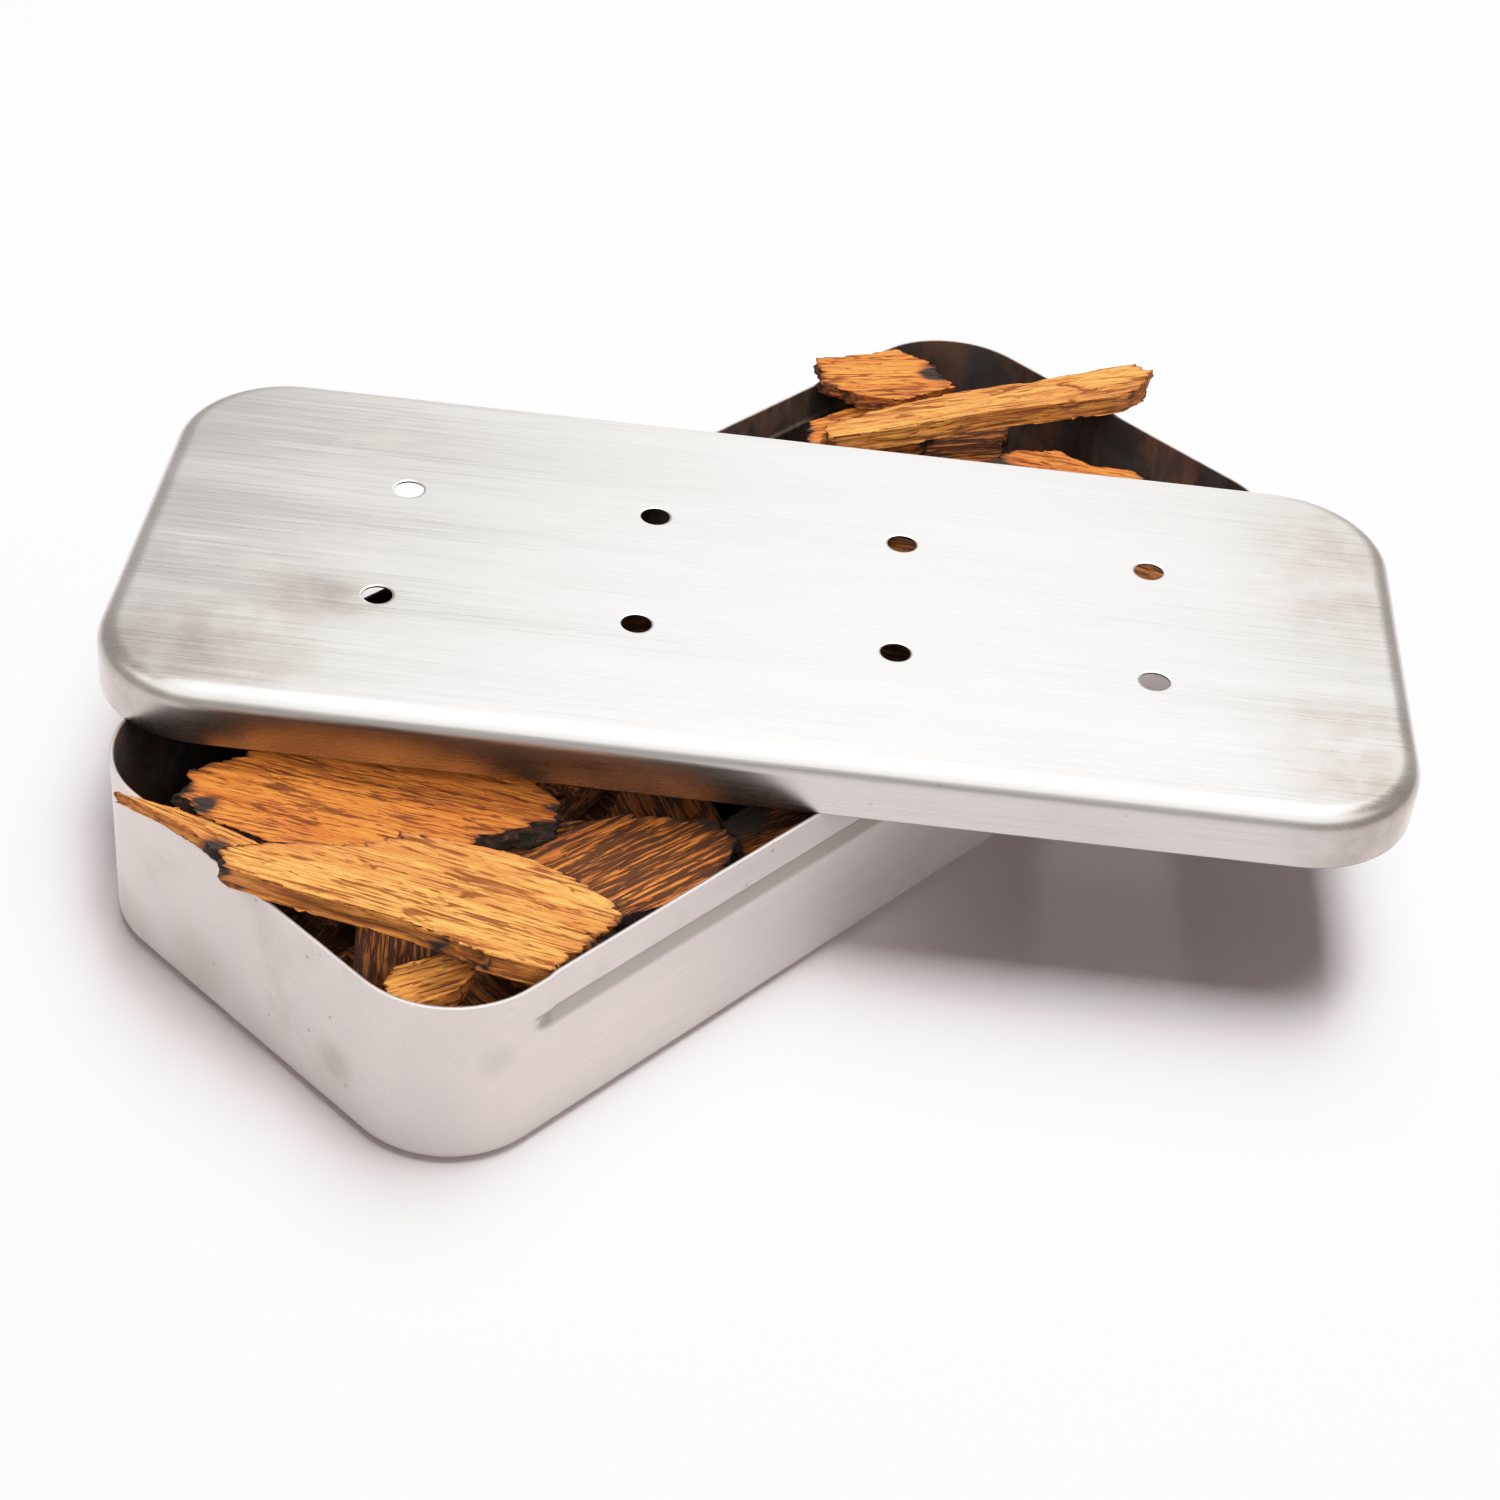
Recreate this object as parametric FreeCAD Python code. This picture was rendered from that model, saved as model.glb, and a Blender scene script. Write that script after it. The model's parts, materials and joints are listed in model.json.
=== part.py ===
"""Wood-chip smoker box: an open stainless-steel tray, its loose vented lid, and a load of wood chips.

Frame: the origin is the middle of the tray's underside, +X runs along the tray and +Z is up.
The lid lies askew across the rim.  Millimetres throughout.
"""
import FreeCAD, Part
import math
import os

# ---- sheet metal
SHEET = 0.6                    # thickness of the pressed steel sheet

# ---- tray
TRAY_LENGTH = 210.0
TRAY_WIDTH = 90.0
TRAY_HEIGHT = 32.0
TRAY_CORNER = 17.5             # outer radius of the upright corners
TRAY_BOTTOM_RADIUS = 2.5       # outer radius round the floor

# ---- stiffening bead pressed into both long walls, and the recessed band above it
BEAD_BELOW_RIM = 6.5           # from the rim down to the bead's upper crease
BEAD_HEIGHT = 5.8
BEAD_DEPTH = 1.0
BEAD_CREASE = 0.5              # height over which the upper crease steps inward
BEAD_END_RUN = 6.0             # length over which each end of the bead fades out
BEAD_FROM_CORNER = 0.5         # from the start of the upright corner to the bead's end
BAND_DEPTH = 0.3               # how far the band above the bead is set in
BAND_END_RUN = 1.5

# ---- lid
LID_CLEARANCE = 1.5            # between the tray's wall and the inside of the lid's skirt
LID_HEIGHT = 10.0
LID_TOP_RADIUS = 3.4           # outer radius round the lid's top
LID_TURN = -49.8               # degrees the lid is turned from lying square on the tray
LID_SHIFT_X = 2.3
LID_SHIFT_Y = -5.3

# ---- vent holes in the lid
VENT_DIAMETER = 5.0
VENT_COLUMNS = 4
VENT_ROWS = 2
VENT_PITCH_LONG = 42.7
VENT_PITCH_CROSS = 31.6

# ---- bed of chips that fills the tray, laid in layers
BED_LAYERS = 4
BED_COLUMNS = 5
BED_ROWS = 2
BED_BELOW_RIM = 9.5            # from the rim down to the general level of the bed
BED_PACKING = 0.28             # part of the bed's room that is wood
BED_TRIES = 4                  # spots and turns tried each way for the lowest place to lie
BED_CHIP_LENGTH = 47.0
BED_CHIP_WIDTH = 21.0
LENGTH_SPREAD = 0.16           # how far the chips of the bed differ, as parts of their sizes
WIDTH_SPREAD = 0.18
THICKNESS_SPREAD = 0.15
CHIP_TAPER = 0.02              # most that a chip of the bed thins per millimetre of its length
SPOT_SPREAD_LONG = 0.35        # how far chips lie from a regular grid, as parts of its cells
SPOT_SPREAD_CROSS = 0.3
TURN_SPREAD = 62               # degrees the chips of one layer are turned each way
TURN_PER_LAYER = 20
TURN_PER_TRY = 14
CHIP_WALL_GAP = 2.2            # clear of the wall, its bead and the bend round the floor
CHIP_GAP = 0.06                # left where one chip rests on another
CURVE_STEP = 6.0               # degrees between the points that stand for a corner of the rim

# ---- chips beside and under the lid are moved and thinned step by step until they clear it
LID_TRIES = 16
MOVE_PER_TRY = 1.0
THINNER_PER_TRY = 0.04         # part of the chip's thickness
TOUCH_VOLUME = 0.001           # shared room, in cubic millimetres, that still counts as clear

# ---- worked out from the sizes above
INNER_LENGTH = TRAY_LENGTH - 2 * SHEET
INNER_WIDTH = TRAY_WIDTH - 2 * SHEET
INNER_CORNER = TRAY_CORNER - SHEET
BED_DEPTH = TRAY_HEIGHT - SHEET - BED_BELOW_RIM
LID_LENGTH = TRAY_LENGTH + 2 * (LID_CLEARANCE + SHEET)
LID_WIDTH = TRAY_WIDTH + 2 * (LID_CLEARANCE + SHEET)
LID_CORNER = TRAY_CORNER + LID_CLEARANCE + SHEET


# ======================================================================= sheet-metal pieces
def rounded_block(length, width, height, corner, edge_radius, rounded_end):
    """A block centred on Z with round upright corners and one rounded end, "top" or "bottom"."""
    block = Part.makeBox(length, width, height, FreeCAD.Vector(-length / 2, -width / 2, 0))
    upright = [edge for edge in block.Edges if edge.BoundBox.ZLength > height / 2]
    block = block.makeFillet(corner, upright)
    level = height if rounded_end == "top" else 0.0
    outline = [edge for edge in block.Edges
               if abs(edge.BoundBox.ZMin - level) < 0.01 and abs(edge.BoundBox.ZMax - level) < 0.01]
    return block.makeFillet(edge_radius, outline)


def pressed_pan(length, width, height, corner, edge_radius, closed_end):
    """A pan of one sheet thickness, closed at its top (a lid) or at its bottom (a tray)."""
    outside = rounded_block(length, width, height, corner, edge_radius, closed_end)
    inside = rounded_block(length - 2 * SHEET, width - 2 * SHEET, height,
                           corner - SHEET, edge_radius - SHEET, closed_end)
    inside.translate(FreeCAD.Vector(0, 0, -SHEET if closed_end == "top" else SHEET))
    return outside.cut(inside)


def bead_section(depth_shift, grow):
    """The bead's section on the YZ plane, sharp at its top and soft at its foot.

    Depth runs along +Y from the wall's outer face.  The groove has no shift; the ridge that it
    raises inside the tray is shifted by the sheet's thickness and grown by as much up and down.
    """
    top = TRAY_HEIGHT - BEAD_BELOW_RIM + grow
    foot = TRAY_HEIGHT - BEAD_BELOW_RIM - BEAD_HEIGHT - grow
    outside = -1.0 if depth_shift == 0 else SHEET / 2
    deepest = BEAD_DEPTH + depth_shift
    upper = FreeCAD.Vector(0, depth_shift, top)
    crease = FreeCAD.Vector(0, deepest, top - BEAD_CREASE)
    belly = FreeCAD.Vector(0, depth_shift + 0.55 * BEAD_DEPTH, foot + 0.4 * (top - foot))
    lower = FreeCAD.Vector(0, depth_shift, foot)
    lower_out = FreeCAD.Vector(0, outside, foot)
    upper_out = FreeCAD.Vector(0, outside, top)
    edges = [Part.LineSegment(upper, crease).toShape(),
             Part.Arc(crease, belly, lower).toShape(),
             Part.LineSegment(lower, lower_out).toShape(),
             Part.LineSegment(lower_out, upper_out).toShape(),
             Part.LineSegment(upper_out, upper).toShape()]
    return Part.Face(Part.Wire(edges))


def fading_bar(half_length, end_run, depth, height):
    """A tall bar in plan, its inner side at the given depth and fading to the wall at both ends."""
    plan = [(-half_length, -2.0), (-half_length, 0.0), (-half_length + end_run, depth),
            (half_length - end_run, depth), (half_length, 0.0), (half_length, -2.0)]
    corners = [FreeCAD.Vector(x, y, 0) for x, y in plan + plan[:1]]
    return Part.Face(Part.makePolygon(corners)).extrude(FreeCAD.Vector(0, 0, height))


def long_wall_press(depth_shift, grow):
    """What the bead and the band take from the near long wall, or add inside it when shifted."""
    wall = FreeCAD.Vector(0, -TRAY_WIDTH / 2, 0)
    bead_half = TRAY_LENGTH / 2 - TRAY_CORNER - BEAD_FROM_CORNER + grow
    section = bead_section(depth_shift, grow)
    section.translate(FreeCAD.Vector(-bead_half, 0, 0))
    bead = section.extrude(FreeCAD.Vector(2 * bead_half, 0, 0))
    bead = bead.common(fading_bar(bead_half, BEAD_END_RUN, BEAD_DEPTH + depth_shift, TRAY_HEIGHT))
    band_foot = TRAY_HEIGHT - BEAD_BELOW_RIM - BEAD_CREASE
    band_half = bead_half - BEAD_END_RUN / 2
    band = fading_bar(band_half, BAND_END_RUN, BAND_DEPTH + depth_shift, TRAY_HEIGHT - band_foot)
    band.translate(FreeCAD.Vector(0, 0, band_foot))
    press = bead.fuse(band)
    press.translate(wall)
    return press


def both_long_walls(shape):
    """The shape on the near long wall and its twin on the far one."""
    twin = shape.copy()
    twin.rotate(FreeCAD.Vector(0, 0, 0), FreeCAD.Vector(0, 0, 1), 180)
    return [shape, twin]


def make_tray():
    tray = pressed_pan(TRAY_LENGTH, TRAY_WIDTH, TRAY_HEIGHT, TRAY_CORNER, TRAY_BOTTOM_RADIUS, "bottom")
    wall_zone = Part.makeBox(TRAY_LENGTH, TRAY_WIDTH - SHEET, TRAY_HEIGHT,
                             FreeCAD.Vector(-TRAY_LENGTH / 2, -(TRAY_WIDTH - SHEET) / 2, 0))
    for ridge in both_long_walls(long_wall_press(SHEET, SHEET)):
        tray = tray.fuse(ridge.common(wall_zone))
    for groove in both_long_walls(long_wall_press(0.0, 0.0)):
        tray = tray.cut(groove)
    return tray.removeSplitter()


def make_lid():
    lid = pressed_pan(LID_LENGTH, LID_WIDTH, LID_HEIGHT, LID_CORNER, LID_TOP_RADIUS, "top")
    for column in range(VENT_COLUMNS):
        for row in range(VENT_ROWS):
            x = (column - (VENT_COLUMNS - 1) / 2) * VENT_PITCH_LONG
            y = (row - (VENT_ROWS - 1) / 2) * VENT_PITCH_CROSS
            start = FreeCAD.Vector(x, y, LID_HEIGHT / 2)
            lid = lid.cut(Part.makeCylinder(VENT_DIAMETER / 2, LID_HEIGHT, start))
    lid.rotate(FreeCAD.Vector(0, 0, 0), FreeCAD.Vector(0, 0, 1), LID_TURN)
    lid.translate(FreeCAD.Vector(LID_SHIFT_X, LID_SHIFT_Y, TRAY_HEIGHT))
    return lid


# ======================================================================= plan geometry
def rounded_outline(length, width, corner):
    """The points of a rounded rectangle seen from above."""
    points = []
    steps = round(90 / CURVE_STEP)
    for quarter in range(4):
        side_x = 1 if quarter in (0, 3) else -1
        side_y = 1 if quarter in (0, 1) else -1
        centre_x = side_x * (length / 2 - corner)
        centre_y = side_y * (width / 2 - corner)
        for step in range(steps + 1):
            angle = math.radians(90 * quarter + 90 * step / steps)
            points.append((centre_x + corner * math.cos(angle), centre_y + corner * math.sin(angle)))
    return points


def is_inside(point, outline):
    x, y = point
    inside = False
    for (x1, y1), (x2, y2) in zip(outline, outline[1:] + outline[:1]):
        if (y1 > y) != (y2 > y) and x < x1 + (y - y1) * (x2 - x1) / (y2 - y1):
            inside = not inside
    return inside


def crossings(outline_a, outline_b):
    """The points where the edges of two outlines cross."""
    found = []
    for (ax, ay), (bx, by) in zip(outline_a, outline_a[1:] + outline_a[:1]):
        for (cx, cy), (dx, dy) in zip(outline_b, outline_b[1:] + outline_b[:1]):
            spread = (bx - ax) * (dy - cy) - (by - ay) * (dx - cx)
            if abs(spread) < 1e-9:
                continue
            along_a = ((cx - ax) * (dy - cy) - (cy - ay) * (dx - cx)) / spread
            along_b = ((cx - ax) * (by - ay) - (cy - ay) * (bx - ax)) / spread
            if 0 <= along_a <= 1 and 0 <= along_b <= 1:
                found.append((ax + along_a * (bx - ax), ay + along_a * (by - ay)))
    return found


def shared_corners(outline_a, outline_b):
    """The corners of the area that two outlines share."""
    return (crossings(outline_a, outline_b)
            + [point for point in outline_a if is_inside(point, outline_b)]
            + [point for point in outline_b if is_inside(point, outline_a)])


def middle(outline):
    """The centre of area of an outline."""
    area = 0.0
    mx = 0.0
    my = 0.0
    for (x1, y1), (x2, y2) in zip(outline, outline[1:] + outline[:1]):
        part = (x1 * y2 - x2 * y1) / 2
        area += part
        mx += part * (x1 + x2) / 3
        my += part * (y1 + y2) / 3
    return mx / area, my / area


def area_of(outline):
    return abs(sum(x1 * y2 - x2 * y1
                   for (x1, y1), (x2, y2) in zip(outline, outline[1:] + outline[:1]))) / 2


def kept_in_tray(outline):
    """The outline, moved inward until it is clear of the tray's walls and corners."""
    half_x = INNER_LENGTH / 2 - CHIP_WALL_GAP
    half_y = INNER_WIDTH / 2 - CHIP_WALL_GAP
    corner = INNER_CORNER - CHIP_WALL_GAP
    for _ in range(60):
        worst = 0.0
        push = (0.0, 0.0)
        for x, y in outline:
            near_x = max(-(half_x - corner), min(half_x - corner, x))
            near_y = max(-(half_y - corner), min(half_y - corner, y))
            reach = math.hypot(x - near_x, y - near_y)
            if reach - corner > worst:
                worst = reach - corner
                push = ((near_x - x) / reach * worst, (near_y - y) / reach * worst)
        if worst < 1e-4:
            break
        outline = [(x + push[0], y + push[1]) for x, y in outline]
    return outline


# ======================================================================= wood chips
OUTER_RIM = rounded_outline(TRAY_LENGTH, TRAY_WIDTH, TRAY_CORNER)
INNER_RIM = rounded_outline(INNER_LENGTH, INNER_WIDTH, INNER_CORNER)


def plane_through(points):
    """(level, slope_x, slope_y) of the plane z = level + slope_x x + slope_y y."""
    (x1, y1, z1), (x2, y2, z2), (x3, y3, z3) = points
    spread = (x2 - x1) * (y3 - y1) - (x3 - x1) * (y2 - y1)
    slope_x = ((z2 - z1) * (y3 - y1) - (z3 - z1) * (y2 - y1)) / spread
    slope_y = ((x2 - x1) * (z3 - z1) - (x3 - x1) * (z2 - z1)) / spread
    return z1 - slope_x * x1 - slope_y * y1, slope_x, slope_y


def height_on(plane, x, y):
    return plane[0] + plane[1] * x + plane[2] * y


def supports_under(outline, laid):
    """Every point (x, y, z) that the underside of a chip with this outline has to clear."""
    points = [(x, y, SHEET + CHIP_GAP) for x, y in outline if is_inside((x, y), INNER_RIM)]
    on_rim = crossings(outline, OUTER_RIM) + crossings(outline, INNER_RIM)
    on_rim += [p for p in OUTER_RIM + INNER_RIM if is_inside(p, outline)]
    on_rim += [p for p in outline if is_inside(p, OUTER_RIM) and not is_inside(p, INNER_RIM)]
    points += [(x, y, TRAY_HEIGHT + CHIP_GAP) for x, y in on_rim]
    for other in laid:
        for x, y in shared_corners(outline, other["outline"]):
            points.append((x, y, height_on(other["top"], x, y) + CHIP_GAP))
    return points


def resting_plane(outline, laid):
    """The plane on which a chip comes to rest: on three supports that enclose its middle."""
    centre = middle(outline)
    far = 4 * TRAY_LENGTH
    below = -TRAY_LENGTH
    feet = [(centre[0] + far * math.cos(math.radians(turn)),
             centre[1] + far * math.sin(math.radians(turn)), below) for turn in (90, 210, 330)]
    supports = supports_under(outline, laid)
    for _ in range(200):
        plane = plane_through(feet)
        highest = max(supports, key=lambda p: p[2] - height_on(plane, p[0], p[1]))
        if highest[2] - height_on(plane, highest[0], highest[1]) < 1e-6:
            break
        for dropped in range(3):
            trial = feet[:dropped] + [highest] + feet[dropped + 1:]
            if is_inside(centre, [(x, y) for x, y, _ in trial]):
                feet = trial
                break
    return plane


def placed(outline, x, y, turn):
    """An outline along and across the grain, turned and moved to its place in the tray."""
    cos_t = math.cos(math.radians(turn))
    sin_t = math.sin(math.radians(turn))
    return [(x + u * cos_t - v * sin_t, y + u * sin_t + v * cos_t) for u, v in outline]


def chip_solid(chip):
    """A chip with upright broken edges between its underside and its upper face."""
    outline = chip["outline"]

    def ring(plane):
        return [FreeCAD.Vector(x, y, height_on(plane, x, y)) for x, y in outline]
    low = ring(chip["bottom"])
    high = ring(chip["top"])
    faces = [Part.Face(Part.makePolygon(low + low[:1])), Part.Face(Part.makePolygon(high + high[:1]))]
    for i in range(len(outline)):
        j = (i + 1) % len(outline)
        faces.append(Part.Face(Part.makePolygon([low[i], low[j], high[j], high[i], low[i]])))
    solid = Part.makeSolid(Part.makeShell(faces))
    if solid.Volume < 0:
        solid.reverse()
    return solid


def lying_height(outline, laid):
    """How high the highest corner of a chip's underside comes to lie."""
    bottom = resting_plane(outline, laid)
    return max(height_on(bottom, x, y) for x, y in outline)


def rested_chip(laid, name, outline, thickness, taper=0.0):
    """One more chip at rest on what is already laid.  taper: how much thinner it gets per mm along X."""
    bottom = resting_plane(outline, laid)
    centre_x = middle(outline)[0]
    top = (bottom[0] + thickness + taper * centre_x, bottom[1] - taper, bottom[2])
    return {"name": name, "outline": outline, "bottom": bottom, "top": top}


def broken_outline(length, width, kind):
    """One of five ragged outlines of a split chip, along and across its grain."""
    shapes = [
        [(-1.0, -0.4), (-0.7, -1.0), (0.5, -0.9), (1.0, -0.3), (0.8, 0.5), (0.2, 1.0), (-0.8, 0.8)],
        [(-1.0, 0.1), (-0.8, -0.8), (-0.1, -1.0), (0.9, -0.8), (1.0, 0.3), (0.5, 0.9), (-0.5, 1.0)],
        [(-0.9, -0.9), (0.3, -1.0), (0.9, -0.5), (1.0, 0.4), (0.6, 1.0), (-0.6, 0.9), (-1.0, 0.0)],
        [(-1.0, -0.2), (-0.3, -0.9), (0.7, -1.0), (0.8, 0.0), (1.0, 0.7), (-0.1, 1.0), (-0.9, 0.6)],
        [(-1.0, 0.5), (-0.9, -0.5), (-0.4, -1.0), (0.6, -0.8), (1.0, 0.1), (0.7, 0.8), (-0.2, 1.0)],
    ]
    return [(u * length / 2, v * width / 2) for u, v in shapes[kind % len(shapes)]]


def lay_bed(laid):
    """The buried load: layer on layer of chips, spread over the floor and turned every way.

    Their thickness is what fills the tray to the level of the bed.  Waves with uneven steps scatter
    their sizes, places and turns.
    """
    count = BED_LAYERS * BED_COLUMNS * BED_ROWS
    outlines = []
    for number in range(count):
        stretch = 1 + LENGTH_SPREAD * math.sin(2.4 * number)
        slim = 1 + WIDTH_SPREAD * math.sin(3.7 * number + 1)
        outlines.append(broken_outline(BED_CHIP_LENGTH * stretch, BED_CHIP_WIDTH * slim, number))
    wood_area = sum(area_of(outline) for outline in outlines)
    thickness = BED_DEPTH * INNER_LENGTH * INNER_WIDTH * BED_PACKING / wood_area
    cell_x = INNER_LENGTH / BED_COLUMNS
    cell_y = INNER_WIDTH / BED_ROWS
    for number, outline in enumerate(outlines):
        layer, cell = divmod(number, BED_COLUMNS * BED_ROWS)
        row, column = divmod(cell, BED_COLUMNS)
        own = thickness * (1 + THICKNESS_SPREAD * math.cos(4.1 * number))
        spots = []
        for attempt in range(BED_TRIES * BED_TRIES):
            stray_x = SPOT_SPREAD_LONG * math.sin(1.7 * number + 2.1 * attempt)
            stray_y = SPOT_SPREAD_CROSS * math.cos(2.9 * number + 1.3 * attempt)
            x = (column - (BED_COLUMNS - 1) / 2 + stray_x) * cell_x
            y = (row - (BED_ROWS - 1) / 2 + stray_y) * cell_y
            turn = TURN_SPREAD * math.sin(1.3 * number + layer)
            turn += TURN_PER_LAYER * layer + TURN_PER_TRY * (attempt % BED_TRIES)
            spots.append(kept_in_tray(placed(outline, x, y, turn)))
        lowest = min(spots, key=lambda spot: lying_height(spot, laid))
        taper = CHIP_TAPER * math.sin(5.3 * number)
        laid.append(rested_chip(laid, "bed_chip_%02d" % (number + 1), lowest, own, taper))


# The chips that show, each as the outline along and across its grain.  "end" and "side" say which
# end and which long side of the tray its place is measured from: -1 is the near one, 1 the far one.
SHOWING_CHIPS = [
    {"name": "front_heap_chip", "end": -1, "side": -1, "from_end": 52, "from_side": 23, "turn": -28,
     "thick": 5.5, "outline": broken_outline(46, 24, 3)},
    {"name": "low_sliver_chip", "end": -1, "side": -1, "from_end": 18, "from_side": 13, "turn": -41,
     "thick": 1.6, "outline": [(-15, -1), (-9, -3), (8, -3), (14, 0), (6, 2.5), (-8, 3)]},
    {"name": "small_stick_chip", "end": -1, "side": -1, "from_end": 15, "from_side": 20, "turn": -9,
     "thick": 3.5, "outline": [(-10, -3), (-6, -5), (5, -4), (9, -1), (7, 4), (-4, 4), (-9, 1)]},
    {"name": "thin_splinter_chip", "end": -1, "side": -1, "from_end": 24, "from_side": 8, "turn": -26,
     "thick": 2.1, "outline": [(-10, -1), (-4, -2.5), (8, -1.5), (12, 0.5), (3, 2), (-8, 2)]},
    {"name": "under_plank_chip", "end": -1, "side": -1, "from_end": 35, "from_side": 7, "turn": -71,
     "thick": 4.5, "outline": broken_outline(18, 10, 2)},
    {"name": "right_side_chip", "end": -1, "side": -1, "from_end": 92, "from_side": 12, "turn": -8,
     "thick": 4.1, "outline": [(-20, -5), (-6, -8), (14, -7), (21, -2), (17, 6), (0, 8), (-17, 5)]},
    {"name": "striped_chip", "end": -1, "side": -1, "from_end": 56, "from_side": 16, "turn": -30,
     "thick": 3.6, "outline": [(-26, -5), (-24, 3), (-14, 7), (-7, 11.5), (1, 12), (10, 10), (15, 8),
                               (17, 3), (12, -6), (4, -11), (-10, -13), (-20, -12)]},
    {"name": "under_broad_chip", "end": -1, "side": -1, "from_end": 29, "from_side": 59, "turn": -5,
     "thick": 4.0, "outline": broken_outline(34, 15, 1)},
    {"name": "broad_chip", "end": -1, "side": -1, "from_end": 32, "from_side": 49, "turn": -45,
     "thick": 5.1, "outline": [(-35, 0), (-33, 6), (-24, 12), (-10, 16), (14, 15), (23, 10), (28, 4),
                               (27, 0), (19, -4), (13, -8), (0, -11), (-18, -10), (-30, -5)]},
    {"name": "long_splinter_chip", "end": -1, "side": -1, "from_end": 2, "from_side": 56, "turn": -66,
     "thick": 2.8, "outline": [(-17, 0), (-8, 3), (-3, 3.5), (6, 2.8), (19, 2.2), (10, -1), (3, -4.5),
                               (-3, -2)]},
    {"name": "front_plank_chip", "end": -1, "side": -1, "from_end": 18, "from_side": 27, "turn": -52,
     "thick": 4.4, "outline": [(-29, -6), (-30, -2), (-23, 1.5), (-12, 5), (-5, 10.5), (11, 12.5),
                               (24, 11), (31, 8), (32, 4), (24, -9.5), (12, -9.5), (0, -7), (-16, -7)]},
    {"name": "rear_heap_chip_1", "end": 1, "side": 1, "from_end": 46, "from_side": 14, "turn": 19,
     "thick": 2.9, "outline": broken_outline(46, 22, 2)},
    {"name": "rear_heap_chip_2", "end": 1, "side": 1, "from_end": 30, "from_side": 22, "turn": -29,
     "thick": 4.4, "outline": broken_outline(44, 19, 3)},
    {"name": "rear_broad_chip", "end": 1, "side": 1, "from_end": 13, "from_side": 48, "turn": -44,
     "thick": 4.8, "outline": [(-21, -2), (-12, 4), (-2, 6), (5, 4), (14, 5), (18, -1), (14, -9),
                               (2, -13), (-14, -11), (-20, -7)]},
    {"name": "rear_inner_chip", "end": 1, "side": 1, "from_end": 38, "from_side": 15, "turn": -27,
     "thick": 4.8, "outline": [(-15, -3), (-12, 4), (-2, 7), (10, 6), (15, 0), (10, -6), (-6, -8)]},
    {"name": "rear_left_chip", "end": 1, "side": 1, "from_end": 28, "from_side": 8, "turn": -31,
     "thick": 3.2, "outline": [(-14, -3), (-13, 5.5), (-2, 6.5), (6, 8), (13, 3), (15, -5), (2, -9),
                               (-8, -7)]},
    {"name": "rear_long_stick_chip", "end": 1, "side": 1, "from_end": 14, "from_side": 32, "turn": -27,
     "thick": 4.4, "outline": [(-42, -4), (-27, -4.5), (-10, -3.5), (6, -4), (20, -5), (26, -2), (29, 2),
                               (26, 5.5), (0, 4.5), (-17, 4.5), (-33, 2.5), (-42, 0)]},
]


def lay_showing_chips(laid, lid):
    """The chips on top: those inside the walls are kept clear of them, the others lie over the rim.

    One that would push into the lid is taken up again and laid thinner, a step further from it.
    """
    over_rim = ("long_splinter_chip", "front_plank_chip", "rear_left_chip", "rear_long_stick_chip")
    from_lid_x = math.sin(math.radians(-LID_TURN))
    from_lid_y = math.cos(math.radians(-LID_TURN))
    for chip in SHOWING_CHIPS:
        x = chip["end"] * (TRAY_LENGTH / 2 - chip["from_end"])
        y = chip["side"] * (TRAY_WIDTH / 2 - chip["from_side"])
        side = math.copysign(1, (x - LID_SHIFT_X) * from_lid_x + (y - LID_SHIFT_Y) * from_lid_y)
        for attempt in range(LID_TRIES):
            move = side * attempt * MOVE_PER_TRY
            outline = placed(chip["outline"], x + move * from_lid_x, y + move * from_lid_y, chip["turn"])
            if chip["name"] not in over_rim:
                outline = kept_in_tray(outline)
            thickness = chip["thick"] * (1 - attempt * THINNER_PER_TRY)
            rested = rested_chip(laid, chip["name"], outline, thickness)
            if chip_solid(rested).common(lid).Volume < TOUCH_VOLUME:
                break
        laid.append(rested)


def main():
    os.makedirs("parts", exist_ok=True)
    make_tray().exportStep("parts/tray.step")
    lid = make_lid()
    lid.exportStep("parts/lid.step")
    laid = []
    lay_bed(laid)
    lay_showing_chips(laid, lid)
    for chip in laid:
        chip_solid(chip).exportStep("parts/%s.step" % chip["name"])


main()
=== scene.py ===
"""Looks of a stainless wood-chip smoker box: a pressed tray, a loose vented lid and a heap of split chips."""
import json
import math
import bmesh
import bpy
from mathutils import Matrix, Vector, noise

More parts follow.
